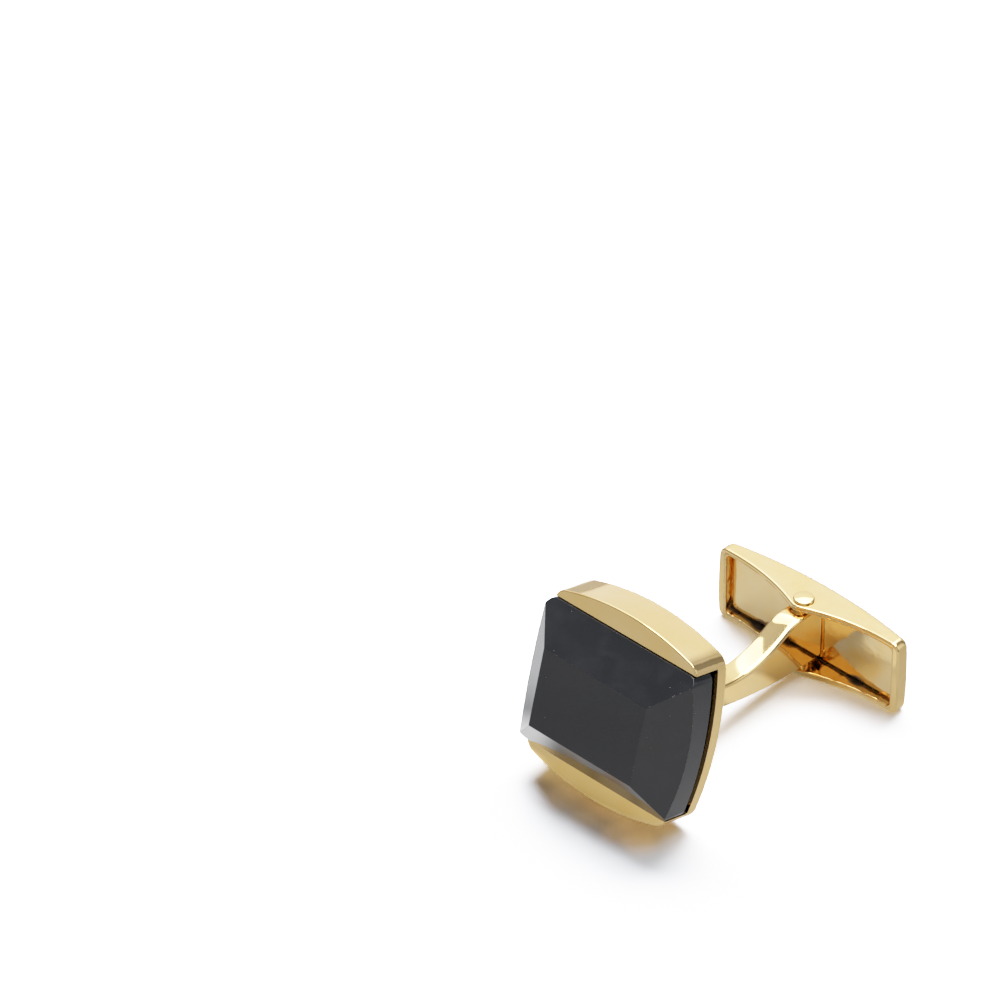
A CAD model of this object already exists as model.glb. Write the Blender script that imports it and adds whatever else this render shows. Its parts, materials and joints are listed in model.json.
import json
import math

import bmesh
import bpy
from mathutils import Matrix, Vector


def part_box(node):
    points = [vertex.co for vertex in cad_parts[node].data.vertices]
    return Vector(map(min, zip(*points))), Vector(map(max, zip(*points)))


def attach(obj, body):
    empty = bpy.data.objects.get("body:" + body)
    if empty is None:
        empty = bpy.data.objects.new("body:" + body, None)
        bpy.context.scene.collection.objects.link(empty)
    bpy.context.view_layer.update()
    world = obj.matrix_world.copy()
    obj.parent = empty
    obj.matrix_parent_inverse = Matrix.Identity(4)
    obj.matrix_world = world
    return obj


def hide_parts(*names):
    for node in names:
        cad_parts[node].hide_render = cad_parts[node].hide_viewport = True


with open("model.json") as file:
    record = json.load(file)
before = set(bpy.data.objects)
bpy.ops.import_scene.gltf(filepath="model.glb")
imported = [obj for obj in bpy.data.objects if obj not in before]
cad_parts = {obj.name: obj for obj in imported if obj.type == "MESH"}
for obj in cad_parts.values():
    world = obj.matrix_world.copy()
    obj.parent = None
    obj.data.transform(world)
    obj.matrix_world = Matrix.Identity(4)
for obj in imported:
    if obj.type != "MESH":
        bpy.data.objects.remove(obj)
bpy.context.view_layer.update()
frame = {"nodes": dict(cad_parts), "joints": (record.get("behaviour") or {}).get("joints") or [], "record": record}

MM = 0.001
WHITE = (1.0, 1.0, 1.0)
PIVOT = Vector(frame["joints"][0]["pos_m"])
MOUNTS = {mount["name"]: mount for mount in frame["record"]["mounts"]}

# Camera, as fitted to the photograph: the image is 1000 x 1000 pixels
CAMERA_PLACE = Vector((268.81, -301.88, 327.24)) * MM
CAMERA_AZIMUTH = math.radians(43.992)
CAMERA_ELEVATION = math.radians(36.956)
CAMERA_ROLL = math.radians(-0.029)
FOCAL_PIXELS = 6486
IMAGE_PIXELS = 1000
SENSOR = 36.0
CLIP_START = 0.01
CLIP_END = 10.0


def add_object(name, data):
    made = bpy.data.objects.new(name, data)
    bpy.context.scene.collection.objects.link(made)
    return made


def add_camera():
    data = bpy.data.cameras.new("camera")
    data.sensor_width = SENSOR
    data.lens = FOCAL_PIXELS / IMAGE_PIXELS * SENSOR
    data.clip_start = CLIP_START
    data.clip_end = CLIP_END
    camera = add_object("camera", data)
    turn = Matrix.Rotation(CAMERA_AZIMUTH, 4, "Z")
    tilt = Matrix.Rotation(math.pi / 2 - CAMERA_ELEVATION, 4, "X")
    roll = Matrix.Rotation(CAMERA_ROLL, 4, "Z")
    camera.matrix_world = Matrix.Translation(CAMERA_PLACE) @ turn @ tilt @ roll
    bpy.context.scene.camera = camera


# The noise behind a fine scratch, and how soft the scratch's edge is
HAIRLINE_NOISE = (1.0, 1.0, 0.0)
HAIRLINE_EDGE = 0.04


class Nodes:
    """A new material's node tree, with short calls for the nodes that repeat."""

    def __init__(self, name):
        self.material = bpy.data.materials.new(name)
        self.material.use_nodes = True
        self.tree = self.material.node_tree
        self.shader = self.tree.nodes["Principled BSDF"]

    def add(self, kind, **settings):
        node = self.tree.nodes.new(kind)
        for key, value in settings.items():
            setattr(node, key, value)
        return node

    def link(self, source, target):
        self.tree.links.new(source, target)

    def set(self, **values):
        for name, value in values.items():
            self.shader.inputs[name.replace("_", " ")].default_value = value

    def feed(self, **sources):
        for name, source in sources.items():
            self.link(source, self.shader.inputs[name.replace("_", " ")])

    def place(self, stretch=(1, 1, 1), turn=(0, 0, 0), start=(0, 0, 0)):
        """The piece's own coordinates in millimetres from start, then turned and stretched."""
        coordinates = self.add("ShaderNodeTexCoord")
        mapping = self.add("ShaderNodeMapping", vector_type="TEXTURE")
        mapping.inputs["Location"].default_value = start
        mapping.inputs["Rotation"].default_value = [math.radians(angle) for angle in turn]
        mapping.inputs["Scale"].default_value = [MM / share for share in stretch]
        self.link(coordinates.outputs["Object"], mapping.inputs["Vector"])
        return mapping.outputs[0]

    def noise(self, pattern, place=None):
        """An uneven pattern, given by its scale, its detail and its distortion."""
        node = self.add("ShaderNodeTexNoise")
        for name, value in zip(("Scale", "Detail", "Distortion"), pattern):
            node.inputs[name].default_value = value
        self.link(place or self.place(), node.inputs["Vector"])
        return node.outputs[0]

    def span(self, value, low, high, to_low=0.0, to_high=1.0):
        """The part of a value between low and high, spread over another range."""
        node = self.add("ShaderNodeMapRange")
        for name, size in zip(("From Min", "From Max", "To Min", "To Max"), (low, high, to_low, to_high)):
            node.inputs[name].default_value = size
        self.link(value, node.inputs["Value"])
        return node.outputs[0]

    def math(self, operation, first, second=None, third=None):
        node = self.add("ShaderNodeMath", operation=operation)
        for value, socket in zip((first, second, third), node.inputs):
            if isinstance(value, (int, float)):
                socket.default_value = value
            elif value:
                self.link(value, socket)
        return node.outputs[0]

    def tint(self, share, first, second):
        """A colour between two others."""
        node = self.add("ShaderNodeMix", data_type="RGBA")
        for name, value in (("A", first), ("B", second)):
            socket = [s for s in node.inputs if s.name == name and s.type == "RGBA"][0]
            if isinstance(value, tuple):
                socket.default_value = value + (1,)
            else:
                self.link(value, socket)
        self.link(share, node.inputs["Factor"])
        return [s for s in node.outputs if s.type == "RGBA"][0]

    def bump(self, height, depth, under=None):
        """A relief so many millimetres deep, over another one."""
        node = self.add("ShaderNodeBump")
        node.inputs["Distance"].default_value = depth * MM
        self.link(height, node.inputs["Height"])
        if under:
            self.link(under, node.inputs["Normal"])
        return node.outputs[0]

    def reach(self, place):
        """How far a point lies from the start of these coordinates."""
        node = self.add("ShaderNodeVectorMath", operation="LENGTH")
        self.link(place, node.inputs[0])
        return node.outputs["Value"]

    def pool(self, middle, core, end, light):
        """A round patch of light that fades out from its core to its end."""
        made = self.span(self.reach(self.place(start=Vector(middle) * MM)), core, end, light, 0)
        made.node.interpolation_type = "SMOOTHSTEP"
        return made

    def pools(self, patches, base):
        """The light of several round patches, over a base."""
        for patch in patches:
            base = self.math("ADD", self.pool(*patch), base)
        return base

    def hairlines(self, sets):
        """Fine straight scratches in a few directions: 1 in a line and 0 beside it."""
        scratches = None
        for turn, along, across, share in sets:
            lines = self.noise(HAIRLINE_NOISE, self.place(stretch=(along, across, across), turn=turn))
            marks = self.span(lines, share, share + HAIRLINE_EDGE)
            scratches = self.math("MAXIMUM", scratches, marks) if scratches else marks
        return scratches


# Below, a pattern is its scale per millimetre, its detail and its distortion. A span is the part of a
# pattern that shows, a pair of roughnesses belongs to the span's two ends, and depths are in millimetres.

GOLD = (0.93, 0.605, 0.225)
GOLD_PALE = (0.945, 0.64, 0.27)
GOLD_DEEP = (0.88, 0.52, 0.16)
GOLD_PATCHES = (0.3, 2.0, 0.0)
GOLD_PATCH_SPAN = (0.35, 0.65)
GOLD_CLOUDS = (1.3, 4.0, 0.0)
GOLD_CLOUD_SPAN = (0.35, 0.75)
GOLD_ROUGHNESS = (0.045, 0.08)
GOLD_WAVES = (0.35, 1.0, 0.0)
GOLD_WAVE_DEPTH = 0.012
# Two sets of wiping marks: how the lines turn, their stretch along and across, and the share left clear
WIPING_MARKS = [
    ((20, 10, 35), 0.35, 16, 0.66),
    ((0, 70, -50), 0.3, 18, 0.68),
]
WIPING_ROUGHNESS = 0.025
WIPING_DEPTH = 0.00015


def polish(made, wave_depth=GOLD_WAVE_DEPTH):
    """Polished gold, with faint patches, waves and wiping marks. Gives colour, roughness and relief."""
    marks = made.hairlines(WIPING_MARKS)
    colour = made.tint(made.span(made.noise(GOLD_PATCHES), *GOLD_PATCH_SPAN), GOLD, GOLD_PALE)
    haze = made.span(made.noise(GOLD_CLOUDS), *GOLD_CLOUD_SPAN, *GOLD_ROUGHNESS)
    roughness = made.math("MULTIPLY_ADD", marks, WIPING_ROUGHNESS, haze)
    waves = made.bump(made.noise(GOLD_WAVES), wave_depth)
    made.set(Metallic=1.0)
    return colour, roughness, made.bump(marks, WIPING_DEPTH, waves)


def gold_material():
    made = Nodes("polished_gold")
    colour, roughness, relief = polish(made)
    made.feed(Base_Color=colour, Roughness=roughness, Normal=relief)
    return made.material


RIVET_WAVE_DEPTH = 0.004
RING_SCALE = 3.5
RING_DISTORTION = 0.6
RING_DEPTH = 0.0006


def rivet_material():
    """The rivet's head: polished over faint turning rings round its axis."""
    made = Nodes("rivet_gold")
    colour, roughness, relief = polish(made, RIVET_WAVE_DEPTH)
    rings = made.add("ShaderNodeTexWave", wave_type="RINGS", rings_direction="Z")
    rings.inputs["Scale"].default_value = RING_SCALE
    rings.inputs["Distortion"].default_value = RING_DISTORTION
    made.link(made.place(start=PIVOT), rings.inputs["Vector"])
    made.feed(Base_Color=colour, Roughness=roughness, Normal=made.bump(rings.outputs[1], RING_DEPTH, relief))
    return made.material


# The toggle's walls, and how far past a wall's inner face the look of the inside fades out, in millimetres
TOGGLE_WALL = 0.55
TOGGLE_END_WALL = 0.85
TOGGLE_BACK_WALL = 1.1
INSIDE_FADE_START = 0.1
INSIDE_FADE_END = 0.25

RESIDUE = (0.085, 0.055, 0.034)
RESIDUE_DARK = (0.03, 0.018, 0.011)
RESIDUE_PATCHES = (0.3, 1.5, 0.4)
RESIDUE_UNEVEN = 2.2
RESIDUE_CORE = 0.05
RESIDUE_END = 0.4
RESIDUE_CRUMBS = (2.5, 4.0, 0.0)
RESIDUE_CRUMB_SPAN = (0.35, 0.65)
RESIDUE_ROUGHNESS = 0.4
# Coordinates squeezed along X, in which a distance is the distance from the crease's line
CREASE_STRETCH = (0.001, 1, 1)


def leave_residue(made, colour, roughness, where=None):
    """Dark polishing compound, in uneven patches along the crease between cavity floor and spring."""
    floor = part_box("toggle_shell")[0].z + TOGGLE_WALL * MM
    crease = (0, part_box("leaf_spring")[0].y, floor)
    across = made.reach(made.place(stretch=CREASE_STRETCH, start=crease))
    shifted = made.math("ADD", across, RESIDUE_UNEVEN / 2)
    ragged = made.math("MULTIPLY_ADD", made.noise(RESIDUE_PATCHES), -RESIDUE_UNEVEN, shifted)
    dirt = made.span(ragged, RESIDUE_CORE, RESIDUE_END, 1, 0)
    if where:
        dirt = made.math("MULTIPLY", dirt, where)
    crumbs = made.span(made.noise(RESIDUE_CRUMBS), *RESIDUE_CRUMB_SPAN)
    made.feed(
        Base_Color=made.tint(dirt, colour, made.tint(crumbs, RESIDUE, RESIDUE_DARK)),
        Metallic=made.span(dirt, 0, 1, 1, 0),
        Roughness=made.math("MAXIMUM", roughness, made.math("MULTIPLY", dirt, RESIDUE_ROUGHNESS)),
    )


def toggle_inside(made):
    """1 on the faces inside the toggle and 0 on those outside."""
    low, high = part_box("toggle_shell")
    half = (high - low) / (2 * MM)
    apart = made.add("ShaderNodeSeparateXYZ")
    made.link(made.place(start=(low + high) / 2), apart.inputs[0])
    back = half.y - TOGGLE_BACK_WALL
    inside = made.span(apart.outputs["Y"], back, back + INSIDE_FADE_START, 1, 0)
    for axis, inner in (("X", half.x - TOGGLE_END_WALL), ("Z", half.z - TOGGLE_WALL)):
        off_middle = made.math("ABSOLUTE", apart.outputs[axis])
        between = made.span(off_middle, inner + INSIDE_FADE_START, inner + INSIDE_FADE_END, 1, 0)
        inside = made.math("MULTIPLY", inside, between)
    return inside


CAST_WAVES = (0.6, 1.5, 0.6)
CAST_DEPTH = 0.18
CAST_ROUGHNESS = 0.06
CAST_STAINS = (0.55, 3.0, 0.0)
CAST_STAIN_SPAN = (0.4, 0.65)


def toggle_gold_material():
    """The toggle: polished outside; as cast inside, where it is wavy, duller and deeper in colour."""
    made = Nodes("toggle_gold")
    colour, roughness, relief = polish(made)
    inside = toggle_inside(made)
    stains = made.span(made.noise(CAST_STAINS, made.place(start=PIVOT)), *CAST_STAIN_SPAN)
    stained = made.tint(made.math("MULTIPLY", inside, stains), colour, GOLD_DEEP)
    dull = made.math("MULTIPLY_ADD", inside, CAST_ROUGHNESS, roughness)
    leave_residue(made, stained, dull, inside)
    cast = made.math("MULTIPLY", inside, made.noise(CAST_WAVES))
    made.feed(Normal=made.bump(cast, CAST_DEPTH, relief))
    return made.material


SPRING_GOLD = (0.93, 0.67, 0.33)
SPRING_STRETCH = (0.05, 9, 9)
SPRING_LINES = (1.0, 3.0, 0.0)
SPRING_LINE_SPAN = (0.3, 0.7)
SPRING_LINE_DEPTH = 0.001
SPRING_ROUGHNESS = (0.08, 0.16)
SPRING_CLOUDS = (0.45, 2.0, 0.5)
SPRING_CLOUD_SPAN = (0.35, 0.7)
SPRING_DENT_DEPTH = 0.04


def spring_material():
    """Rolled spring strip: fine lines along its length and a few shallow dents."""
    made = Nodes("spring_strip")
    rolled = made.noise(SPRING_LINES, made.place(stretch=SPRING_STRETCH))
    clouds = made.noise(SPRING_CLOUDS)
    strip = made.tint(made.span(clouds, *SPRING_CLOUD_SPAN), SPRING_GOLD, GOLD_PALE)
    leave_residue(made, strip, made.span(rolled, *SPRING_LINE_SPAN, *SPRING_ROUGHNESS))
    dents = made.bump(clouds, SPRING_DENT_DEPTH)
    made.feed(Normal=made.bump(rolled, SPRING_LINE_DEPTH, dents))
    return made.material


STONE = (0.004, 0.0045, 0.006)
STONE_GREY = (0.012, 0.012, 0.014)
STONE_DUST = (0.35, 0.35, 0.34)
STONE_IOR = 1.52
STONE_CLOUDS = (0.5, 6.0, 0.6)
STONE_CLOUD_SPAN = (0.45, 0.75)
STONE_HAZE_SPAN = (0.3, 0.7)
STONE_ROUGHNESS = (0.025, 0.05)
STONE_WAVES = (0.25, 1.0, 0.0)
STONE_WAVE_DEPTH = 0.003
# Specks of dust: how many cells in a millimetre, a speck's radius in its cell, and the places that have any
DUST_SCALE = 1.6
DUST_RADIUS_SPAN = (0.035, 0.05)
DUST_PLACES = (0.9, 2.0, 0.0)
DUST_PLACE_SPAN = (0.52, 0.56)
# Worn arrises: how wide, in millimetres, how far the face turns there, and the chips along them
ARRIS_ROUND = 0.05
ARRIS_SAMPLES = 4
ARRIS_SPAN = (0.93, 0.995)
CHIPS = (4.0, 3.0, 0.0)
CHIP_SPAN = (0.56, 0.62)
# Two sets of scratches, listed as the wiping marks are
SCRATCHES = [
    ((15, 40, 10), 0.25, 14, 0.69),
    ((60, -20, 80), 0.3, 15, 0.7),
]
SCRATCH_DEPTH = 0.0006
WORN_ROUGHNESS = 0.1


def stone_specks(made):
    """1 in a speck of dust and 0 beside it."""
    cells = made.add("ShaderNodeTexVoronoi", feature="F1")
    cells.inputs["Scale"].default_value = DUST_SCALE
    made.link(made.place(), cells.inputs["Vector"])
    dots = made.span(cells.outputs["Distance"], *DUST_RADIUS_SPAN, 1, 0)
    return made.math("MULTIPLY", dots, made.span(made.noise(DUST_PLACES), *DUST_PLACE_SPAN))


def stone_arrises(made):
    """1 along the arrises between the facets and 0 on the facets."""
    round_edge = made.add("ShaderNodeBevel", samples=ARRIS_SAMPLES)
    round_edge.inputs["Radius"].default_value = ARRIS_ROUND * MM
    true_face = made.add("ShaderNodeNewGeometry")
    turned_away = made.add("ShaderNodeVectorMath", operation="DOT_PRODUCT")
    made.link(round_edge.outputs[0], turned_away.inputs[0])
    made.link(true_face.outputs["True Normal"], turned_away.inputs[1])
    return made.span(turned_away.outputs["Value"], *ARRIS_SPAN, 1, 0)


def stone_material():
    """Polished black stone: faint grey clouds, hairline scratches, specks of dust and worn arrises."""
    made = Nodes("black_stone")
    made.set(IOR=STONE_IOR)
    clouds = made.noise(STONE_CLOUDS)
    body = made.tint(made.span(clouds, *STONE_CLOUD_SPAN), STONE, STONE_GREY)
    arris = stone_arrises(made)
    chips = made.math("MULTIPLY", arris, made.span(made.noise(CHIPS), *CHIP_SPAN))
    pale = made.math("MAXIMUM", stone_specks(made), chips)
    scratches = made.hairlines(SCRATCHES)
    haze = made.span(clouds, *STONE_HAZE_SPAN, *STONE_ROUGHNESS)
    worn = made.math("MAXIMUM", arris, scratches)
    waves = made.bump(made.noise(STONE_WAVES), STONE_WAVE_DEPTH)
    made.feed(
        Base_Color=made.tint(pale, body, STONE_DUST),
        Roughness=made.math("MULTIPLY_ADD", worn, WORN_ROUGHNESS, haze),
        Normal=made.bump(scratches, SCRATCH_DEPTH, waves),
    )
    return made.material


ADHESIVE_DARK = (0.012, 0.01, 0.008)
ADHESIVE_AMBER = (0.04, 0.03, 0.018)
ADHESIVE_CLOUDS = (1.1, 4.0, 0.0)
ADHESIVE_CLOUD_SPAN = (0.3, 0.7)
ADHESIVE_ROUGHNESS = (0.25, 0.5)
ADHESIVE_PITS = (6.0, 2.0, 0.0)
ADHESIVE_PIT_DEPTH = 0.02


def adhesive_material():
    """Cured epoxy: dark amber, with a pitted surface."""
    made = Nodes("cured_epoxy")
    clouds = made.noise(ADHESIVE_CLOUDS)
    made.feed(
        Base_Color=made.tint(clouds, ADHESIVE_DARK, ADHESIVE_AMBER),
        Roughness=made.span(clouds, *ADHESIVE_CLOUD_SPAN, *ADHESIVE_ROUGHNESS),
        Normal=made.bump(made.noise(ADHESIVE_PITS), ADHESIVE_PIT_DEPTH),
    )
    return made.material


# The floor is brighter to the eye than in its reflections, as a sheet of white paper whose picture is
# exposed for it
FLOOR_HALF = 0.6
FLOOR_SEEN = 2.1
FLOOR_REFLECTED = 0.15
FLOOR_GLOW = 0.36
FLOOR_GLOW_RETURNED = 0.85
PAPER_GRAIN = (3.0, 4.0, 0.0)
PAPER_GRAIN_SPAN = (0.3, 0.7)
PAPER_TONES = (0.97, 1.0)
PAPER_DEPTH = 0.004
# The dim wedge under the head's lower edge, and the strip before it: middles of their parts, in millimetres
WEDGE = [(-4.5, -10.4, 0), (0, -10.8, 0), (4.5, -10.4, 0)]
STRIP = [(-4.5, -14, 0), (0, -14.4, 0), (4.5, -14, 0)]
# Brighter and dimmer parts of the floor: the middle, the radius of the core, the end, and the added light
POOLS = [
    ((-11.5, -13.5, 0), 2.5, 5.9, 2.0),
    ((-26, -4, 0), 6, 14, 0.8),
    ((34, -28, 0), 15, 55, 0.42),
    ((3.2, 6.5, 0), 1.9, 2.9, 0.6),
    ((-2, -19, 0), 5, 8, 0.05),
    ((-10, 10, 0), 3, 9, 0.3),
    ((7, 11.5, 0), 2, 5, 0.4),
    ((-36, -66, 0), 15, 40, 0.08),
    *[(middle, 1.3, 2.9, -0.36) for middle in WEDGE],
    ((-60, 50, 0), 20, 62, 0.75),
    *[(middle, 1, 2.6, 0.16) for middle in STRIP],
]
# Near the head and beside the toggle the floor is lit by the gold: each part's middle, core, end and colour
WARM_PARTS = [
    ((-3, -19.5, 0), 4, 6.5, (1.0, 0.92, 0.62)),
    *[(middle, 1.5, 3.2, (1.0, 0.58, 0.22)) for middle in WEDGE],
    ((3, 11, 0), 1.5, 3, (1.0, 0.8, 0.5)),
]
# Amber light that the low crescent throws on the floor before it, listed as the brighter parts are
THROWN = [
    ((5.8, -13.7, 0), 0.5, 2.0, 0.3),
    ((3.6, -13.9, 0), 0.5, 2.0, 0.2),
    ((0.5, -13.9, 0), 0.5, 2.2, 0.12),
    ((-2.5, -13.9, 0), 0.5, 2.2, 0.12),
]
THROWN_COLOUR = (1.0, 0.56, 0.2)


def floor_glow(made, path):
    """The light that the floor sends into the gold and the stone."""
    glow = made.math("MAXIMUM", made.pools(POOLS, FLOOR_GLOW), 0)
    glow = made.math("MULTIPLY", glow, made.span(path.outputs["Is Camera Ray"], 0, 1, 1, 0))
    returned = made.span(path.outputs["Diffuse Depth"], 0, 1, 1, FLOOR_GLOW_RETURNED)
    return made.math("MULTIPLY", glow, returned)


def floor_material():
    """White paper with a fine grain."""
    made = Nodes("white_paper")
    made.set(Roughness=1.0, IOR=1.0)
    path = made.add("ShaderNodeLightPath")
    seen = path.outputs["Is Camera Ray"]
    grain = made.noise(PAPER_GRAIN)
    tone = made.span(seen, 0, 1, FLOOR_REFLECTED, FLOOR_SEEN)
    warm = WHITE
    for middle, core, end, colour in WARM_PARTS:
        warm = made.tint(made.pool(middle, core, end, 1), warm, colour)
    made.feed(
        Base_Color=made.math("MULTIPLY", tone, made.span(grain, *PAPER_GRAIN_SPAN, *PAPER_TONES)),
        Emission_Strength=made.math("MULTIPLY_ADD", made.pools(THROWN, 0), seen, floor_glow(made, path)),
        Emission_Color=made.tint(seen, warm, THROWN_COLOUR),
        Normal=made.bump(grain, PAPER_DEPTH),
    )
    return made.material


def join_rings(built, near, far):
    """A band of faces between two closed rings of corners."""
    for i in range(len(near)):
        built.faces.new((near[i - 1], near[i], far[i], far[i - 1]))


def add_built(name, built):
    """An object of the faces built so far, all of them facing outward."""
    bmesh.ops.recalc_face_normals(built, faces=built.faces)
    mesh = bpy.data.meshes.new(name)
    built.to_mesh(mesh)
    built.free()
    return add_object(name, mesh)


CREASE = math.radians(35)
FACE_WEIGHT = 100
POST_FACE_WEIGHT = 50


def smooth(piece):
    """Shades a piece smooth, except across its creases."""
    piece.data.shade_smooth()
    piece.data.set_sharp_from_angle(angle=CREASE)


def even_normals(piece, weight):
    """Shades each flat face flat and each round smooth."""
    normals = piece.modifiers.new("normals", "WEIGHTED_NORMAL")
    normals.weight = weight
    normals.keep_sharp = False


# The post's section and side profile, in millimetres and degrees; its ends come from the solid post
POST_EDGE_ROUND = 0.3
POST_CROWN_ROUND = 14.0
NECK_HEIGHT = 2.2
NECK_BEND_ROUND = 9.2
FLANK_ANGLE = 26.2
TONGUE_NOSE = 2.3
TONGUE_NOSE_ROUND = 3.5
TONGUE_TOP_GAP = 0.72
UNDERSIDE_ROUND = 40.0
POST_END_ROUND = 0.5
PIN_BORE = 0.65
BORE_SIDES = 48
BORE_DEPTH = 20
ARC_STEP = math.radians(1.5)
END_STEP = math.radians(15)
EDGE_STEPS = 8
CROWN_STEPS = 6


def crossing(a, along_a, b, along_b):
    """Where two lines of a plane cross."""
    return a + along_a * ((b - a).cross(along_b) / along_a.cross(along_b))


def post_corners():
    """The post's side profile, clockwise from the neck's top: corners (y, z), each with its radius."""
    low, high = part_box("post")
    low = low / MM
    high = high / MM
    along_neck = Vector(MOUNTS["cuff_face"]["axis"]).yz
    up_neck = Vector((-along_neck.y, along_neck.x))
    neck_bottom = Vector((low.y, high.z - NECK_HEIGHT * up_neck.y))
    neck_top = neck_bottom + up_neck * NECK_HEIGHT
    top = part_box("toggle_shell")[1].z / MM - TONGUE_TOP_GAP
    nose = Vector((PIVOT.y / MM - TONGUE_NOSE, top))
    flank = math.radians(FLANK_ANGLE)
    bend = crossing(neck_top, along_neck, nose, Vector((math.cos(flank), math.sin(flank))))
    tail_bottom = Vector((high.y, low.z))
    underside = crossing(neck_bottom, along_neck, tail_bottom, Vector((1, 0)))
    return [
        (neck_top, POST_END_ROUND),
        (bend, NECK_BEND_ROUND),
        (nose, TONGUE_NOSE_ROUND),
        (Vector((high.y, top)), POST_END_ROUND),
        (tail_bottom, POST_END_ROUND),
        (underside, UNDERSIDE_ROUND),
        (neck_bottom, POST_END_ROUND),
    ]


def rounded_outline(corners):
    """Points of a clockwise outline with rounded corners, each with its outward normal."""
    outline = []
    for i, (corner, radius) in enumerate(corners):
        travel = (corner - corners[i - 1][0]).normalized()
        leave = (corners[(i + 1) % len(corners)][0] - corner).normalized()
        turn = math.atan2(travel.cross(leave), travel.dot(leave))
        side = math.copysign(radius, turn)
        normal = Vector((-travel.y, travel.x))
        centre = corner - travel * radius * math.tan(abs(turn) / 2) + normal * side
        steps = math.ceil(abs(turn) / (END_STEP if radius == POST_END_ROUND else ARC_STEP))
        for step in range(steps + 1):
            outward = Matrix.Rotation(turn * step / steps, 2) @ normal
            outline.append((centre - outward * side, outward))
    return outline


def crowned(half, crown_round, edge_round):
    """Half of a crowned section with a rounded edge: places from the middle outward, each with its drop."""
    lean = math.asin((half - edge_round) / crown_round)
    flat = half - edge_round * (1 - math.sin(lean))
    section = []
    for step in range(CROWN_STEPS + 1):
        x = flat * step / CROWN_STEPS
        section.append((x, x * x / (2 * crown_round)))
    drop = section[-1][1]
    for step in range(1, EDGE_STEPS + 1):
        angle = lean + (math.pi / 2 - lean) * step / EDGE_STEPS
        x = flat + edge_round * (math.sin(angle) - math.sin(lean))
        section.append((x, drop + edge_round * (math.cos(lean) - math.cos(angle))))
    return section


def rounded_bar(name, outline, section):
    """A bar whose side profile is the outline, with the section's crown and rounded edges."""
    built = bmesh.new()
    rings = []
    for x, inset in section:
        ring = []
        for point, outward in outline:
            y, z = point - outward * inset
            ring.append(built.verts.new(Vector((x, y, z)) * MM))
        rings.append(ring)
    for near, far in zip(rings, rings[1:]):
        join_rings(built, near, far)
    built.faces.new(rings[0])
    built.faces.new(rings[-1])
    return add_built(name, built)


def drill(piece, radius, place):
    """Cuts an upright hole through a piece."""
    built = bmesh.new()
    bmesh.ops.create_cone(
        built, cap_ends=True, segments=BORE_SIDES, radius1=radius, radius2=radius, depth=BORE_DEPTH * MM
    )
    bore = add_built("drill", built)
    bore.location = place
    cut = piece.modifiers.new("bore", "BOOLEAN")
    cut.object = bore
    bpy.context.view_layer.update()
    drilled = bpy.data.meshes.new_from_object(piece.evaluated_get(bpy.context.evaluated_depsgraph_get()))
    piece.modifiers.remove(cut)
    piece.data = drilled
    bpy.data.objects.remove(bore)


def add_post(material):
    """The post with the fine rounds that its polish shows; it stands for the solid post."""
    half = crowned(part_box("post")[1].x / MM, POST_CROWN_ROUND, POST_EDGE_ROUND)
    section = [(-x, inset) for x, inset in reversed(half[1:])] + half
    piece = rounded_bar("post_polished", rounded_outline(post_corners()), section)
    drill(piece, PIN_BORE * MM, PIVOT)
    piece.data.shade_smooth()
    even_normals(piece, POST_FACE_WEIGHT)
    piece.data.materials.append(material)
    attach(piece, "head")
    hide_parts("post")


# The solder round the neck, in millimetres, and the sides of the neck's corners, in the order in which the
# fillet passes them
SOLDER_ROUND = 0.32
SOLDER_SUNK = 0.06
SOLDER_STEPS = 6
SOLDER_CORNER_STEPS = 8
NECK_CORNERS = [(1, 1), (-1, 1), (-1, -1), (1, -1)]


def solder_section():
    """The fillet's closed section: how far points lie out from the neck, and up from the head's back."""
    section = []
    for step in range(SOLDER_STEPS + 1):
        angle = math.pi / 2 * step / SOLDER_STEPS
        section.append((SOLDER_ROUND * (1 - math.sin(angle)), SOLDER_ROUND * (1 - math.cos(angle))))
    sunk = [(-SOLDER_SUNK, SOLDER_ROUND), (-SOLDER_SUNK, -SOLDER_SUNK), (SOLDER_ROUND, -SOLDER_SUNK)]
    return section + sunk


def solder_path():
    """The way round the neck: the centre of each corner's round, across and up, and the way outward."""
    half_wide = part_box("post")[1].x / MM - POST_EDGE_ROUND
    half_tall = NECK_HEIGHT / 2 - POST_EDGE_ROUND
    path = []
    for corner, (right, top) in enumerate(NECK_CORNERS):
        for step in range(SOLDER_CORNER_STEPS + 1):
            angle = math.pi / 2 * (corner + step / SOLDER_CORNER_STEPS)
            outward = Vector((math.cos(angle), math.sin(angle)))
            path.append((Vector((half_wide * right, half_tall * top)), outward))
    return path


def add_solder(material):
    """The fillet of solder where the neck leaves the head's back."""
    away = Vector(MOUNTS["cuff_face"]["axis"])
    up = Vector((0, -away.z, away.y))
    neck_top = post_corners()[0][0]
    middle = Vector((0, neck_top.x, neck_top.y)) - up * NECK_HEIGHT / 2
    middle += away * (Vector(MOUNTS["cuff_face"]["pos_m"]) / MM - middle).dot(away)
    built = bmesh.new()
    rings = []
    for centre, outward in solder_path():
        ring = []
        for out, height in solder_section():
            x, z = centre + outward * (POST_EDGE_ROUND + out)
            ring.append(built.verts.new((middle + Vector((x, 0, 0)) + up * z + away * height) * MM))
        rings.append(ring)
    for i, ring in enumerate(rings):
        join_rings(built, rings[i - 1], ring)
    piece = add_built("solder_fillet", built)
    smooth(piece)
    piece.data.materials.append(material)
    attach(piece, "head")


# The rivet, in millimetres
PIN_RADIUS = 0.6
RIVET_HEAD_RADIUS = 0.88
RIVET_DOME_ROUND = 5.0
RIVET_EDGE_ROUND = 0.14
RIVET_TAIL_DEPTH = 0.3
TURNED_SIDES = 96


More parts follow.
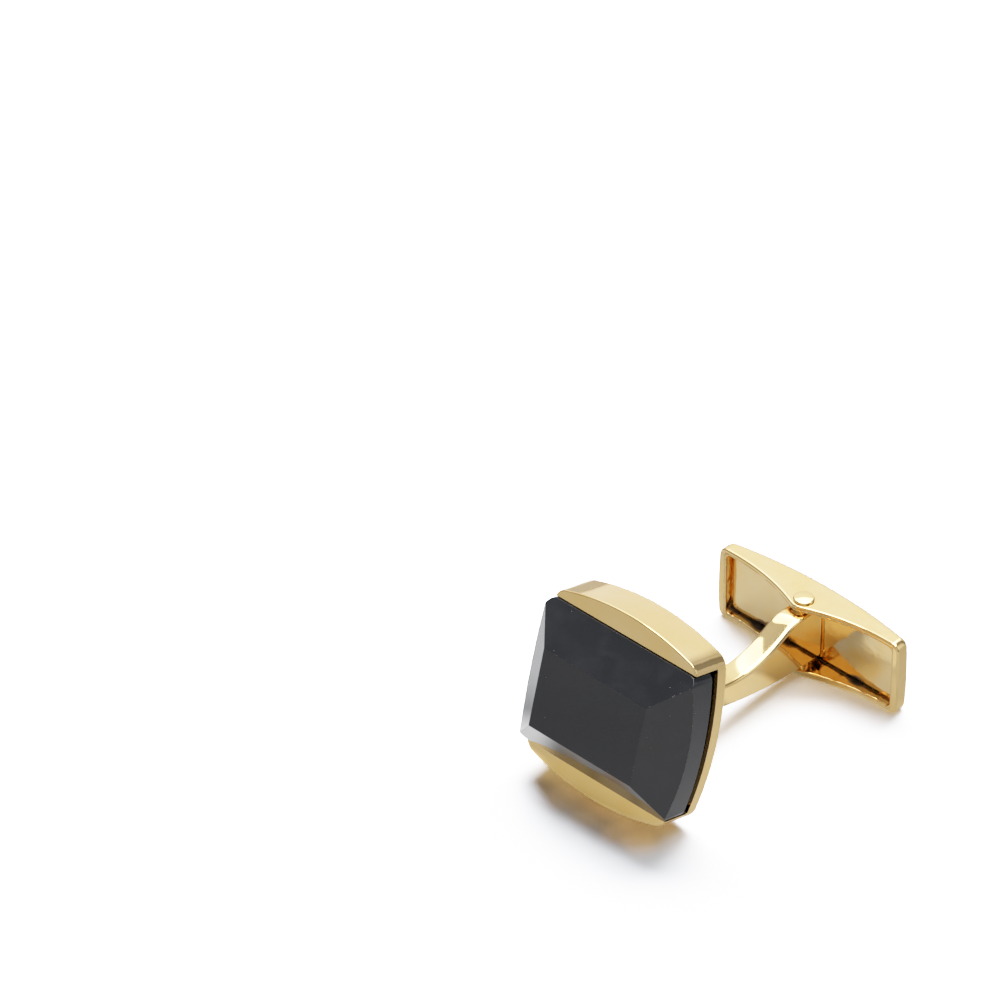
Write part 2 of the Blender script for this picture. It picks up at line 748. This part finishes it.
def turned(name, profile, axis):
    """A piece turned round an upright axis: its profile's points are (radius, height), from pole to pole."""
    built = bmesh.new()
    rings = []
    for radius, height in profile[1:-1]:
        ring = []
        for step in range(TURNED_SIDES):
            angle = 2 * math.pi * step / TURNED_SIDES
            out = Vector((math.cos(angle), math.sin(angle), 0)) * radius
            ring.append(built.verts.new((axis + out + Vector((0, 0, height))) * MM))
        rings.append(ring)
    for near, far in zip(rings, rings[1:]):
        join_rings(built, near, far)
    for ring, (_, height) in ((rings[0], profile[0]), (rings[-1], profile[-1])):
        pole = built.verts.new((axis + Vector((0, 0, height))) * MM)
        for i in range(TURNED_SIDES):
            built.faces.new((ring[i - 1], ring[i], pole))
    return add_built(name, built)


def add_rivet(material):
    """The rivet with its low polished dome, peened flush below; it stands for the solid rivet."""
    low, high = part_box("pivot_pin")
    bottom = low.z / MM
    top = high.z / MM
    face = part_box("toggle_shell")[1].z / MM
    profile = [
        (0, bottom),
        (high.x / MM, bottom),
        (PIN_RADIUS, bottom + RIVET_TAIL_DEPTH),
        (PIN_RADIUS, face),
        (RIVET_HEAD_RADIUS, face),
    ]
    for radius, inset in reversed(crowned(RIVET_HEAD_RADIUS, RIVET_DOME_ROUND, RIVET_EDGE_ROUND)):
        profile.append((radius, top - inset))
    piece = turned("rivet_polished", profile, Vector((PIVOT.x, PIVOT.y, 0)) / MM)
    smooth(piece)
    piece.data.materials.append(material)
    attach(piece, "toggle")
    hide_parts("pivot_pin")


# The rounds on the solids' edges, in millimetres, and the angle from which an edge counts as sharp
EDGE_ROUND = 0.05
HEAD_EDGE_ROUND = 0.1
STONE_EDGE_ROUND = 0.02
TOGGLE_EDGE_ROUND = 0.14
EDGE_SEGMENTS = 3
SHARP_EDGE = math.radians(30)
FLAT_LIMIT = math.radians(0.3)
WELD_REACH = 0.001


def dress(node, material):
    piece = frame["nodes"][node]
    piece.data.materials.clear()
    piece.data.materials.append(material)
    return piece


def soften(piece, edge_round):
    """Gives a small round to each edge that is left sharp."""
    weld = piece.modifiers.new("weld", "WELD")
    weld.merge_threshold = WELD_REACH * MM
    flat = piece.modifiers.new("flat", "DECIMATE")
    flat.decimate_type = "DISSOLVE"
    flat.angle_limit = FLAT_LIMIT
    bevel = piece.modifiers.new("edge", "BEVEL")
    bevel.width = edge_round * MM
    bevel.segments = EDGE_SEGMENTS
    bevel.limit_method = "ANGLE"
    bevel.angle_limit = SHARP_EDGE
    even_normals(piece, FACE_WEIGHT)


def add_floor():
    half = FLOOR_HALF
    corners = [(-half, -half, 0), (half, -half, 0), (half, half, 0), (-half, half, 0)]
    mesh = bpy.data.meshes.new("floor")
    mesh.from_pydata(corners, [], [(0, 1, 2, 3)])
    mesh.materials.append(floor_material())
    floor = add_object("floor", mesh)


def direction(azimuth, elevation):
    """Unit vector; azimuth turns from +Y towards +X, both in degrees."""
    a = math.radians(azimuth)
    e = math.radians(elevation)
    return Vector((math.sin(a) * math.cos(e), math.cos(a) * math.cos(e), math.sin(e)))


SOFTBOX_DISTANCE = 0.8
LAMP_TINT = (0.97, 1.0, 1.07)
# Lamps: azimuth, elevation, width and height in degrees, radiance, whether it lights the floor, and whether
# the gold and the stone mirror it
LAMPS = [
    ("softbox_left", -50, 53, 48, 22, 4.5, False, True),
    ("softbox_top", 0, 80, 52, 50, 10.0, False, True),
    ("floor_light", -38, 60, 44, 26, 27.5, True, False),
    ("floor_light_right", 35, 72, 40, 40, 2.8, True, False),
    ("floor_fill", 135, 60, 80, 50, 0.04, True, False),
]


def add_softbox(name, azimuth, elevation, wide, tall, radiance, on_floor, in_mirrors):
    """A rectangular lamp that spans so many degrees, seen from the object."""
    data = bpy.data.lights.new(name, "AREA")
    data.color = LAMP_TINT
    data.shape = "RECTANGLE"
    data.size = 2 * SOFTBOX_DISTANCE * math.tan(math.radians(wide / 2))
    data.size_y = 2 * SOFTBOX_DISTANCE * math.tan(math.radians(tall / 2))
    data.energy = radiance * math.pi * data.size * data.size_y
    lamp = add_object(name, data)
    towards = direction(azimuth, elevation)
    lamp.location = towards * SOFTBOX_DISTANCE
    lamp.rotation_mode = "QUATERNION"
    lamp.rotation_quaternion = (-towards).to_track_quat("-Z", "Y")
    lamp.visible_diffuse = on_floor
    lamp.visible_glossy = in_mirrors


WORLD_BASE = 0.25
# Soft bright parts of the room: azimuth, elevation, angle of the core, angle where it has faded, radiance
GLOWS = [
    (-32, 20, 33, 43, 1.65),
    (-88, 45, 14, 30, 0.7),
    (40, 15, 15, 45, 0.55),
    (58, 30, 8, 24, 0.7),
    (-138, 15, 25, 50, 0.25),
    (-40, 47, 4, 9, 2.0),
    (-44, 39, 2, 18, 0.4),
    (145, 30, 15, 40, 0.7),
]
# A dark flag behind the head: azimuth, elevation, angle of its core, angle where it ends, share kept
FLAG = (12, 22, 22, 24.5, 0.43)


def sky_patch(tree, place, azimuth, elevation, core, fade, light, around):
    """A round part of the sky: its light, and the light around it."""
    dot = tree.nodes.new("ShaderNodeVectorMath")
    dot.operation = "DOT_PRODUCT"
    dot.inputs[1].default_value = direction(azimuth, elevation)
    tree.links.new(place, dot.inputs[0])
    shape = tree.nodes.new("ShaderNodeMapRange")
    shape.interpolation_type = "SMOOTHSTEP"
    limits = (math.cos(math.radians(fade)), math.cos(math.radians(core)), around, light)
    for name, value in zip(("From Min", "From Max", "To Min", "To Max"), limits):
        shape.inputs[name].default_value = value
    tree.links.new(dot.outputs["Value"], shape.inputs["Value"])
    return shape.outputs["Result"]


def add_world():
    """The room: an even base with soft bright parts, dimmed by the flag; the floor has its own lamps."""
    world = bpy.data.worlds.new("studio")
    world.use_nodes = True
    tree = world.node_tree
    place = tree.nodes.new("ShaderNodeTexCoord").outputs["Generated"]
    total = None
    for glow in GLOWS:
        both = tree.nodes.new("ShaderNodeMath")
        both.inputs[0].default_value = WORLD_BASE
        if total:
            tree.links.new(total, both.inputs[0])
        tree.links.new(sky_patch(tree, place, *glow, 0), both.inputs[1])
        total = both.outputs[0]
    flagged = tree.nodes.new("ShaderNodeMath")
    flagged.operation = "MULTIPLY"
    tree.links.new(total, flagged.inputs[0])
    tree.links.new(sky_patch(tree, place, *FLAG, 1), flagged.inputs[1])
    background = tree.nodes["Background"]
    background.inputs["Color"].default_value = LAMP_TINT + (1,)
    tree.links.new(flagged.outputs[0], background.inputs["Strength"])
    world.cycles_visibility.diffuse = False
    bpy.context.scene.world = world


def add_light():
    add_world()
    for lamp in LAMPS:
        add_softbox(*lamp)


# The film's range of light, the points of its curve, and which curve is the one for all three colours
FILM_RANGE = 5.0
FILM_STEPS = 12
FILM_CURVE = 3


def set_film():
    """A film-like response: tone 1 - exp(-light), which keeps the gold's colour and rolls off to white."""
    view = bpy.context.scene.view_settings
    view.view_transform = "Standard"
    view.use_curve_mapping = True
    mapping = view.curve_mapping
    mapping.white_level = (FILM_RANGE,) * 3
    curve = mapping.curves[FILM_CURVE]
    for step in range(1, FILM_STEPS):
        share = (step / FILM_STEPS) ** 2
        curve.points.new(share, (1 - math.exp(-FILM_RANGE * share)) / (1 - math.exp(-FILM_RANGE)))
    mapping.update()


gold = gold_material()
add_post(gold)
add_solder(gold)
add_rivet(rivet_material())
soften(dress("head_frame", gold), HEAD_EDGE_ROUND)
soften(dress("stone", stone_material()), STONE_EDGE_ROUND)
soften(dress("stone_adhesive", adhesive_material()), EDGE_ROUND)
soften(dress("leaf_spring", spring_material()), EDGE_ROUND)
soften(dress("toggle_shell", toggle_gold_material()), TOGGLE_EDGE_ROUND)
add_floor()
add_light()
add_camera()
set_film()
